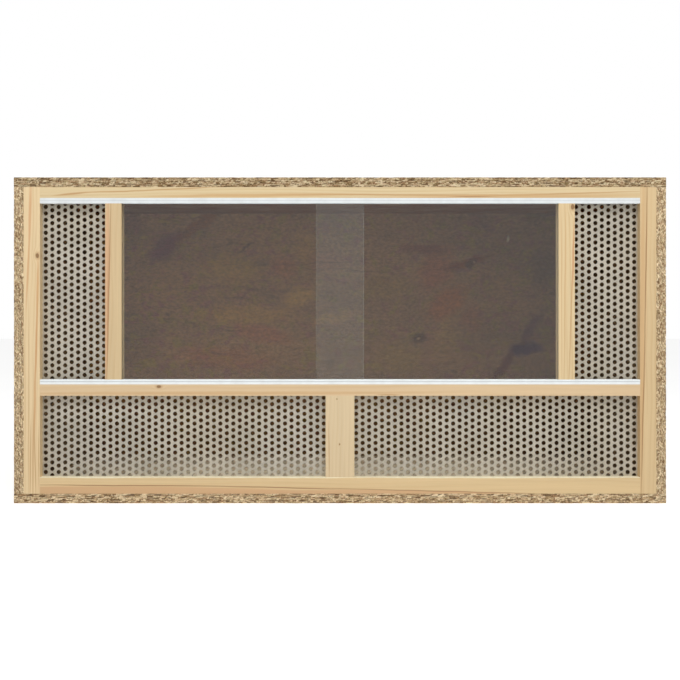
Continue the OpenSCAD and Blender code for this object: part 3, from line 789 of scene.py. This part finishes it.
def sheet_mesh(low, high, plain_border, settings):
    """Points and faces of one perforated sheet between the corners low and high.

    Columns of cells one pitch wide run from edge to edge. Lines half a pitch apart cut them
    up, and a hole takes two cells of its column, which starts half a pitch higher in every
    second column. Round each hole, four rings make the rounded edge at the front and the wall
    down to the back: a point at angle a lies at the centre plus radius times (cos a, sin a).
    A fixed fan of triangles joins the six corners of the hole's two cells to the outer ring.
    Cells whose hole would lie in the plain border, which is as wide at the sides, the bottom
    and the top as plain_border says, stay whole.
    """
    pitch, sides, half = settings.pitch, settings.sides, settings.pitch / 2
    radius, roll = settings.hole / 2, settings.roll
    first = math.ceil((low[0] + plain_border[0]) / pitch - 0.5)
    last = math.floor((high[0] - plain_border[0]) / pitch - 0.5) + 1
    start = math.ceil((low[2] + LEAST_CELL - settings.lowest) / half)
    stop = math.floor((high[2] - LEAST_CELL - settings.lowest) / half)
    x_lines = [low[0], *(np.arange(first, last + 1) * pitch), high[0]]
    z_lines = [low[2], *(settings.lowest + np.arange(start, stop + 1) * half), high[2]]
    flat = np.stack(np.meshgrid(x_lines, z_lines, indexing="ij"), 2).reshape(-1, 2)
    grid = np.arange(len(flat)).reshape(len(x_lines), len(z_lines))

    cells = np.meshgrid(np.arange(first, last), np.arange(start, stop + 1), indexing="ij")
    col, step = (part.ravel() for part in cells)
    z = settings.lowest + step * half
    fits = (step + col + 1) % 2 == 0
    fits &= (z > low[2] + plain_border[1]) & (z < high[2] - plain_border[2])
    col, step, z = col[fits], step[fits], z[fits]
    left, middle = col - first + 1, step - start + 1
    centre = np.stack([(col + 0.5) * pitch, z], 1)[:, None]
    front, back = low[1], high[1]
    levels = [(flat, front), (flat, back)]
    for size, depth in (
        (radius + roll, front),
        (radius + roll * 0.3, front + roll * 0.3),
        (radius, front + roll),
        (radius, back),
    ):
        levels.append(((centre + circle(sides) * size).reshape(-1, 2), depth))
    points = np.concatenate([np.insert(at, 1, depth, 1) for at, depth in levels])
    rings = 2 * grid.size + np.arange(4 * len(z) * sides).reshape(4, -1, sides)

    nearest = np.round(np.array([0, 0.125, 0.375, 0.5, 0.625, 0.875]) * sides).astype(int)
    fan, rim = [], []
    for here, after in enumerate((1, 2, 3, 4, 5, 0)):
        end = nearest[after] if after else sides
        fan += [(here, s % sides, (s + 1) % sides) for s in range(nearest[here], end)]
        rim.append((here, after, end % sides))
    fan, rim = np.array(fan).T, np.array(rim).T
    faces = []
    for way, ring, plate in ((1, rings[0], grid), (-1, rings[3], grid + grid.size)):
        around = ((1, 0), (1, 1), (0, 1), (0, 0), (0, -1), (1, -1))
        corner = np.stack([plate[left + i, middle + k] for i, k in around], 1)
        one = np.stack([corner[:, fan[0]], ring[:, fan[2]], ring[:, fan[1]]], 2)
        two = np.stack([corner[:, rim[0]], corner[:, rim[1]], ring[:, rim[2]]], 2)
        faces.append(np.concatenate([one.reshape(-1, 3), two.reshape(-1, 3)])[:, ::way])
    faces += [quads(one, two)[:, ::-1] for one, two in zip(rings, rings[1:])]

    whole = np.ones((len(x_lines) - 1, len(z_lines) - 1), dtype=bool)
    whole[left, middle] = whole[left, middle - 1] = False
    i, k = np.nonzero(whole)
    for way, plate in ((1, grid), (-1, grid + grid.size)):
        corners = [plate[i, k], plate[i + 1, k], plate[i + 1, k + 1], plate[i, k + 1]]
        faces.append(np.stack(corners, 1)[:, ::way])
    loop = np.concatenate([grid[:-1, 0], grid[-1, :-1], grid[:0:-1, -1], grid[0, :0:-1]])
    after = np.roll(loop, -1)
    faces.append(np.stack([after, loop, loop + grid.size, after + grid.size], 1))
    return points, faces


def chance(*numbers):
    """An even pseudo-random number from 0 to 1 for each place in the arrays.

    The numbers times fixed factors are added, and the fraction of a large multiple of the
    sum's sine is taken.
    """
    total = sum(n * f for n, f in zip(numbers, (12.9898, 78.233, 37.719, 94.673)))
    return np.mod(np.sin(total) * 43758.5453, 1.0)


def drift(u, spacing, seed):
    """Smooth noise from -1 to 1 along u: random values every spacing, eased between."""
    at = u / spacing
    low = np.floor(at)
    part = at - low
    ease = part * part * (3 - 2 * part)
    return (chance(low, seed) * (1 - ease) + chance(low + 1, seed) * ease) * 2 - 1


def strand_section(u, w, grade, seed):
    """Tone, gap and depth, each from 0 to 1, of strands cut through by a sawn edge.

    u runs along the edge and w through the board. w, bent by smooth noise, is cut into thin
    layers, and each layer into pieces of its own length. A piece has its own tone and depth.
    Gaps lie along some layer borders and at the ends of the pieces.
    """
    bent = w + drift(u, 0.041, seed) * 0.0016 + drift(u + w * 9, 0.013, seed + 3) * 0.0006
    thick = 0.00095 + 0.00055 * grade
    layer = np.floor(bent / thick)
    across = bent / thick - layer
    length = (0.0045 + 0.011 * chance(layer, seed + 5)) * grade
    at = u / length + 9 * chance(layer, seed + 7) + drift(w * 40, 1.0, seed) * 0.4
    piece = np.floor(at)
    part = at - piece
    tone, sunk, closed, tight = (chance(layer, piece, seed + n) for n in (11, 13, 17, 19))
    end = np.clip(1 - np.minimum(part, 1 - part) * length / 0.001, 0, 1) * (closed > 0.42)
    split = np.clip(1 - across / 0.4, 0, 1) * (tight > 0.5)
    gap = np.clip(np.maximum(end, split) * 1.25, 0, 1)
    gap = np.maximum(gap, (sunk > 0.92) * 0.85)
    return tone, gap, np.clip(0.28 * sunk + 0.75 * gap, 0, 1)


def board_mesh(low, high, order, shown, screws, settings, grade, seed):
    """Points, faces and marks of a board with a true rough sawn edge all round.

    In the board's own axes u and v span its face and w its thickness. A loop of points runs
    round the face. Rows of such loops go from a ring just inside one face, over its ragged
    rim and down the edge to the other face: a point of row w lies on the loop, moved inwards
    by the depth of the strand section at its length and its w. Both faces are filled inside
    their rings by constrained triangles that leave out a circle round each screw, where a
    countersunk cup of four rings follows.
    """
    axes = ["XYZ".index(letter) for letter in order]
    lo, hi = np.array(low)[axes], np.array(high)[axes]
    corners = np.array([lo[:2], (hi[0], lo[1]), hi[:2], (lo[0], hi[1])])
    sides = []
    for a, b, fine in zip(corners, np.roll(corners, -1, 0), shown):
        long = np.linalg.norm(b - a)
        count = max(int(long / (settings.step if fine else PLAIN_STEP)), 2)
        t = np.arange(count)[:, None] / count
        way = (b - a) / long
        inward = np.array([-way[1], way[0]])
        ease = np.clip(np.minimum(t, 1 - t)[:, 0] * long / 0.004, 0, 1) * fine
        lean = np.repeat(inward[None], count, 0)
        lean[0] += way
        within = a + (way + inward) * FACE_RING + (b - a - way * 2 * FACE_RING) * t
        sides.append((a + (b - a) * t, lean, ease, np.full((count, 1), float(fine)), within))
    loop, inward, ease, fine, within = map(np.concatenate, zip(*sides))
    length = np.insert(np.cumsum(np.linalg.norm(np.diff(loop, axis=0), axis=1)), 0, 0)

    w = np.linspace(0, hi[2] - lo[2], EDGE_ROWS)
    u_all, w_all = np.meshgrid(length, w + 0.2 * seed, indexing="ij")
    tone, gap, depth = strand_section(u_all, w_all, grade, float(seed))
    depth = depth * ease[:, None] * settings.depth
    depth[:, [0, -1]] += 0.00035
    depth[:, [1, -2]] += 0.0001
    chip = np.clip(drift(length, 0.006, seed + 31) - 0.25, 0, 1) * 0.0008 * ease
    tall = np.tile([lo[2], *(lo[2] + w), hi[2]], (len(loop), 1))
    tall[:, 1] += chip * 0.7
    tall[:, -2] -= chip
    edge = loop[:, None] + inward[:, None] * depth[..., None]
    ring = (within + inward * chip[:, None])[:, None]
    flat = np.concatenate([ring, edge, ring], 1)
    points = [np.concatenate([flat, tall[..., None]], 2).reshape(-1, 3)]
    rim = (0, 0), (1, 1)
    on_edge = np.pad(np.repeat(fine, EDGE_ROWS, 1), rim)
    tone, gap = np.pad(tone, rim, "edge"), np.pad(gap, rim, "edge")
    marks = [np.stack([tone, gap, on_edge, np.ones_like(on_edge)], 2).reshape(-1, 4)]
    index = np.arange(tall.size).reshape(tall.shape)
    faces = [quads(index[:, :-1], index[:, 1:], 0)]

    cup = circle(SCREW_SIDES)
    for side in (0, 1):
        turn, row = (1, -1) if side else (-1, 0)
        total = sum(map(len, points))
        holes = np.array([at for at, up in screws if up == side]).reshape(-1, 1, 2)
        inside = (holes + cup * CUP_RINGS[0][0]).reshape(-1, 2)
        spots = np.concatenate([flat[:, row], inside])
        loops = [np.arange(len(loop)), *(len(loop) + np.arange(len(inside)).reshape(-1, SCREW_SIDES))]
        borders = np.concatenate([np.stack([one, np.roll(one, -1)], 1) for one in loops])
        made = delaunay_2d_cdt([Vector(at) for at in spots.tolist()], borders.tolist(), [], 1, 1e-7)
        fill = np.array([ids[0] for ids in made[3]])[np.array(made[2])]
        far = np.linalg.norm(spots[fill].mean(1) - holes, axis=2) > CUP_RINGS[0][0]
        fill = fill[far.all(0)]
        a, b, c = spots[fill].transpose(1, 0, 2)
        (bx, by), (cx, cy) = (b - a).T, (c - a).T
        back = bx * cy - by * cx < 0
        fill[back] = fill[back][:, ::-1]
        numbers = np.concatenate([index[:, row], total + np.arange(len(inside))])
        faces.append(numbers[fill][:, ::turn])
        if not len(holes):
            continue
        for size, down in CUP_RINGS:
            at = (holes + cup * size).reshape(-1, 2)
            points.append(np.insert(at, 2, (hi if side else lo)[2] - turn * down, 1))
        shape = len(CUP_RINGS), len(holes), SCREW_SIDES
        rings = total + np.arange(math.prod(shape)).reshape(shape)
        marks.append(np.tile([0.4, 0.0, 0.0, 1.0], (rings.size, 1)))
        faces += [quads(one, two)[:, ::turn] for one, two in zip(rings, rings[1:])]
        faces.append(rings[-1][:, ::turn])
    points = np.concatenate(points)
    world = np.empty_like(points)
    world[:, axes] = points
    if np.linalg.det(np.eye(3)[axes]) < 0:
        faces = [f[:, ::-1] for f in faces]
    return world, faces, np.concatenate(marks)


def screw_places(name):
    """Where each screw of a group sits: its head's top, its outward way, its radius, its length.

    The group's frame node is split into screws by nearness across the screws' common axis,
    which is the axis along which each single screw is longest.
    """
    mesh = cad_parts[name].data
    spots = np.empty(len(mesh.vertices) * 3)
    mesh.vertices.foreach_get("co", spots)
    spots = spots.reshape(-1, 3)
    axis = SCREW_GROUPS[name][1]
    across = [n for n in range(3) if n != axis]
    found = []
    while len(spots):
        near = np.linalg.norm(spots[:, across] - spots[0, across], axis=1) < SCREW_REACH[0]
        near &= np.abs(spots[:, axis] - spots[0, axis]) < SCREW_REACH[1]
        one, spots = spots[near], spots[~near]
        low, high = one.min(0), one.max(0)
        widest = (high - low)[across].max() / 2
        wide = np.linalg.norm(one[:, across] - (low + high)[across] / 2, axis=1) > widest * 0.8
        way = np.zeros(3)
        way[axis] = 1.0 if one[wide, axis].mean() > (low + high)[axis] / 2 else -1.0
        top = (low + high) / 2
        top[axis] = high[axis] if way[axis] > 0 else low[axis]
        found.append((top, way, widest, (high - low)[axis]))
    return found


def screw_mesh(places, flat_head):
    """Points and faces of screws with a six-lobed drive.

    Each screw is a row of rings about its axis. A ring at height h has radius r at angle a,
    and in the drive r times (1 + 0.17 cos 6a). The rings run from the bottom of the drive
    over the head and down the thread to the tip, where the radius goes up and down from
    ring to ring.
    """
    top, way, radius, length = (np.array(part) for part in zip(*places))
    head, end = radius[:, None], -length[:, None]
    side = np.roll(way, 1, axis=1)
    up = np.cross(way, side)
    sizes, heights, lobes = np.array(FLAT_HEAD if flat_head else PAN_HEAD).T
    turns = np.arange(13)
    part = (turns + 0.5) / len(turns)
    shank = head * (0.47 if flat_head else 0.5)
    thread = shank * np.where(turns % 2, 1.0, 0.8) * np.where(part < 0.86, 1.0, 0.6)
    size = np.concatenate([head * sizes, thread, np.full_like(head, 0.0001)], 1)
    start = head * heights[-1]
    height = np.concatenate([head * heights, start + (end - start) * part, end], 1)
    angle = np.arange(SCREW_SIDES) * 2 * np.pi / SCREW_SIDES
    lobes = np.pad(lobes, (0, len(turns) + 1))
    reach = size[..., None] * (1 + 0.17 * np.cos(6 * angle) * lobes[:, None])
    points = (
        top[:, None, None]
        + side[:, None, None] * (reach * np.cos(angle))[..., None]
        + up[:, None, None] * (reach * np.sin(angle))[..., None]
        + way[:, None, None] * height[..., None, None]
    )
    index = np.arange(reach.size).reshape(reach.shape)
    sides = quads(index[:, :-1], index[:, 1:])[:, [0, 3, 2, 1]]
    return points.reshape(-1, 3), [sides, index[:, 0], index[:, -1, ::-1]]


def dress(name, material, edge=0.0, segments=2):
    """Gives a frame node its material. Its flat triangles are merged and its sharp edges bevelled."""
    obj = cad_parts[name]
    wear_material(obj, material)
    if not edge:
        return
    merge = obj.modifiers.new("merge flats", "DECIMATE")
    merge.decimate_type = "DISSOLVE"
    merge.angle_limit = math.radians(0.5)
    bevel = obj.modifiers.new("broken edges", "BEVEL")
    bevel.width, bevel.segments = edge, segments
    bevel.limit_method, bevel.angle_limit = "ANGLE", math.radians(50)
    bevel.use_clamp_overlap = bevel.harden_normals = False
    bevel.miter_outer = "MITER_ARC"


# ---------------------------------------------------------------- pieces


class TERRARIUM_OT_boards(Operator):
    """Dress the strand boards and the brown back panel"""

    bl_idname = "terrarium.boards"
    bl_label = "Boards"

    def execute(self, context):
        board = context.scene.terrarium_boards
        measure = (board.strand_length, board.strand_width, board.strand_thickness)
        for n, (name, order, screws, side, shown, grade, shade, crevice, *inner_tint) in enumerate(BOARDS):
            low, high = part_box(name)
            u, v, w = ("XYZ".index(letter) for letter in order)
            heads = [
                ((top[u], top[v]), side)
                for top, out, radius, length in screw_places(screws)
                if (out[w] > 0) == bool(side)
            ]
            points, faces, marks = board_mesh(low, high, order, shown, heads, board, grade, n + 1)
            seed = (n * 1.7, n * 0.9, n * 0.013)
            outer = (high if side else low)[w]
            title = "strand board %d" % (n + 1)
            material = osb_material(title, order, seed, measure, shade, crevice, outer, *inner_tint)
            obj = ride_new(
                "strand_" + name, points, faces, material, "cabinet", name, smooth=55.0, marks=marks
            )
        dress("back_panel", film_material(), board.edge)
        return {"FINISHED"}


class TERRARIUM_OT_strips(Operator):
    """Dress the pine strips of the front frame"""

    bl_idname = "terrarium.strips"
    bl_label = "Frame strips"

    def execute(self, context):
        strip = context.scene.terrarium_strips
        for n, (name, order, heart, scale, *shape) in enumerate(STRIPS):
            title = "pine " + name.replace("_", " ")
            seed = (n * 3.1, n * 1.7, n * 0.7)
            ring = strip.ring_spacing * scale
            material = pine_material(title, order, heart, ring, seed, *shape, MARKS[name])
            dress(name, material, strip.edge)
        dress("frame_dowels", dowel_material())
        return {"FINISHED"}


class TERRARIUM_OT_sheets(Operator):
    """Punch the three vent sheets"""

    bl_idname = "terrarium.sheets"
    bl_label = "Vent sheets"

    def execute(self, context):
        settings = context.scene.terrarium_sheets
        material = sheet_material()
        for name, below in (
            ("lower_vent_sheet", WIDE_BORDER),
            ("upper_left_vent_sheet", NARROW_BORDER),
            ("upper_right_vent_sheet", NARROW_BORDER),
        ):
            border = (WIDE_BORDER, below, NARROW_BORDER)
            low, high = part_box(name)
            points, faces = sheet_mesh(low, high, border, settings)
            title = name.replace("_vent_sheet", "_perforated_sheet")
            obj = ride_new(title, points, faces, material, "cabinet", name, smooth=50.0)
        return {"FINISHED"}


class TERRARIUM_OT_glass(Operator):
    """Dress the sliding panes and their white runners"""

    bl_idname = "terrarium.glass"
    bl_label = "Glass and runners"

    def execute(self, context):
        settings = context.scene.terrarium_glass
        for name in ("left_glass_pane", "right_glass_pane"):
            low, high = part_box(name)
            dress(name, glass_material(name.replace("_", " "), (low[0], high[0])), settings.edge, 1)
        for name, lift, strength, foot, white in (
            # how far the line lies above the middle and how dark its painted groove shade is, how low
            # the warm foot lies, and how pale the plastic is painted: the bottom runner is made paler as
            # painted light, since less light from above reaches it
            ("top_glass_runner", 0.0002, 0.25, -0.01, 0.985),
            ("bottom_glass_runner", 0.0009, 0.6, 0.0, 1.04),
        ):
            low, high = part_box(name)
            middle = (low[2] + high[2]) / 2 + lift
            material = runner_material(name.replace("_", " "), middle, strength, low[2] + foot, white)
            dress(name, material, settings.runner_edge)
        return {"FINISHED"}


class TERRARIUM_OT_screws(Operator):
    """Make the screws with their six-lobed drives"""

    bl_idname = "terrarium.screws"
    bl_label = "Screws"

    def execute(self, context):
        kinds = {
            "yellow": screw_material("yellow zinc steel", (214, 186, 112), (190, 168, 120)),
            "bright": screw_material("bright zinc steel", (206, 206, 204), (184, 188, 192)),
        }
        for name, (kind, axis) in SCREW_GROUPS.items():
            points, faces = screw_mesh(screw_places(name), kind == "yellow")
            obj = ride_new("driven_" + name, points, faces, kinds[kind], "cabinet", name, smooth=35.0)
        return {"FINISHED"}


class TERRARIUM_OT_stage(Operator):
    """Set up the floor, the lights, the white room and the camera"""

    bl_idname = "terrarium.stage"
    bl_label = "Stage"

    def execute(self, context):
        scene, plan = context.scene, context.scene.terrarium_stage
        mesh = bpy.data.meshes.new("studio floor")
        corners = [(x * FLOOR, y * FLOOR, 0) for x, y in ((-1, -1), (1, -1), (1, 1), (-1, 1))]
        mesh.from_pydata(corners, [], [(0, 1, 2, 3)])
        floor = bpy.data.objects.new("studio_floor", mesh)
        scene.collection.objects.link(floor)
        p = Finish("pale studio floor")
        pale = p.ramp(p.noise(p.here, 3.0), (0.3, 238, 238, 237), (0.7, 243, 243, 242))
        for name, value in (("Base Color", pale), ("Roughness", 0.9), ("Specular IOR Level", 0.0)):
            p.put(p.shader.inputs[name], value)
        # what the floor glows with for light, in mirror images and to the eye
        glows = 0.0, plan.mirror - FLOOR_LIGHT, 0.62
        glows = (p.first("Emission", {"Strength": light}) for light in glows)
        both = p.first("AddShader", {0: p.shader.outputs[0], 1: p.by_ray(*glows)})
        p.put(p.end.inputs["Surface"], both)
        wear_material(floor, p.material)

        world = bpy.data.worlds.new("pale studio")
        scene.world = world
        world.use_nodes = True
        p = Paint(world.node_tree)
        white = (1, 1, 1, 1)
        rooms = (
            p.first("Background", {"Color": white, "Strength": light})
            for light in (plan.world, plan.mirror, 1.0)
        )
        p.node("OutputWorld", {"Surface": p.by_ray(*rooms)})

        for name, at, aim, size, power in (
            ("key light", (0.15, -2.4, 2.6), (0, 0, 0.2), (2.4, 1.2), plan.key),
            ("fill light", (0.1, -3.6, 0.9), (0, 0, 0.3), (3.8, 2.3), plan.fill),
        ):
            data = bpy.data.lights.new(name, "AREA")
            data.shape, data.energy = "RECTANGLE", power
            data.size, data.size_y = size
            lamp = bpy.data.objects.new(name, data)
            lamp.location = at
            lamp.rotation_euler = (Vector(aim) - Vector(at)).to_track_quat("-Z", "Y").to_euler()
            lamp.visible_transmission = lamp.visible_camera = False
            scene.collection.objects.link(lamp)

        data = bpy.data.cameras.new("camera")
        camera = bpy.data.objects.new("camera", data)
        scene.collection.objects.link(camera)
        camera.location = plan.camera
        camera.rotation_euler = (math.pi / 2, 0, 0)
        data.lens = data.sensor_width * (FRONT - plan.camera[1]) / plan.field
        data.shift_y = (CORNER[1] - VIEW / 2) / VIEW
        data.clip_start, data.clip_end = 0.05, 60.0
        scene.camera = camera
        scene.view_settings.view_transform = "Standard"
        return {"FINISHED"}


class TERRARIUM_PT_sidebar(Panel):
    """The terrarium's settings and steps"""

    bl_idname = "TERRARIUM_PT_sidebar"
    bl_label = "Terrarium"
    bl_space_type = "VIEW_3D"
    bl_region_type = "UI"
    bl_category = "Terrarium"

    def draw(self, context):
        for step, name, group in STEPS:
            box = self.layout.box()
            for setting in group.__annotations__ if group else ():
                box.prop(getattr(context.scene, name), setting)
            box.operator(step.bl_idname)


STEPS = (
    (TERRARIUM_OT_boards, "terrarium_boards", BoardSettings),
    (TERRARIUM_OT_strips, "terrarium_strips", StripSettings),
    (TERRARIUM_OT_sheets, "terrarium_sheets", SheetSettings),
    (TERRARIUM_OT_glass, "terrarium_glass", GlassSettings),
    (TERRARIUM_OT_screws, None, None),
    (TERRARIUM_OT_stage, "terrarium_stage", StageSettings),
)
GROUPS = {name: group for step, name, group in STEPS if group}
CLASSES = (*GROUPS.values(), *(step for step, name, group in STEPS), TERRARIUM_PT_sidebar)


def register():
    """Adds the settings, the steps and the panel."""
    for one in CLASSES:
        bpy.utils.register_class(one)
    for name, group in GROUPS.items():
        setattr(bpy.types.Scene, name, PointerProperty(type=group))


def unregister():
    """Takes them out again."""
    for name in GROUPS:
        delattr(bpy.types.Scene, name)
    for one in reversed(CLASSES):
        bpy.utils.unregister_class(one)


def plain(corners):
    """Corners as lists of numbers."""
    return [[float(v) for v in corner] for corner in corners]


def main():
    """Runs every step in order."""
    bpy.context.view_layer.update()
    register()
    bpy.ops.terrarium.boards()
    bpy.ops.terrarium.strips()
    bpy.ops.terrarium.sheets()
    bpy.ops.terrarium.glass()
    bpy.ops.terrarium.screws()
    bpy.ops.terrarium.stage()


if __name__ == "__main__":
    main()
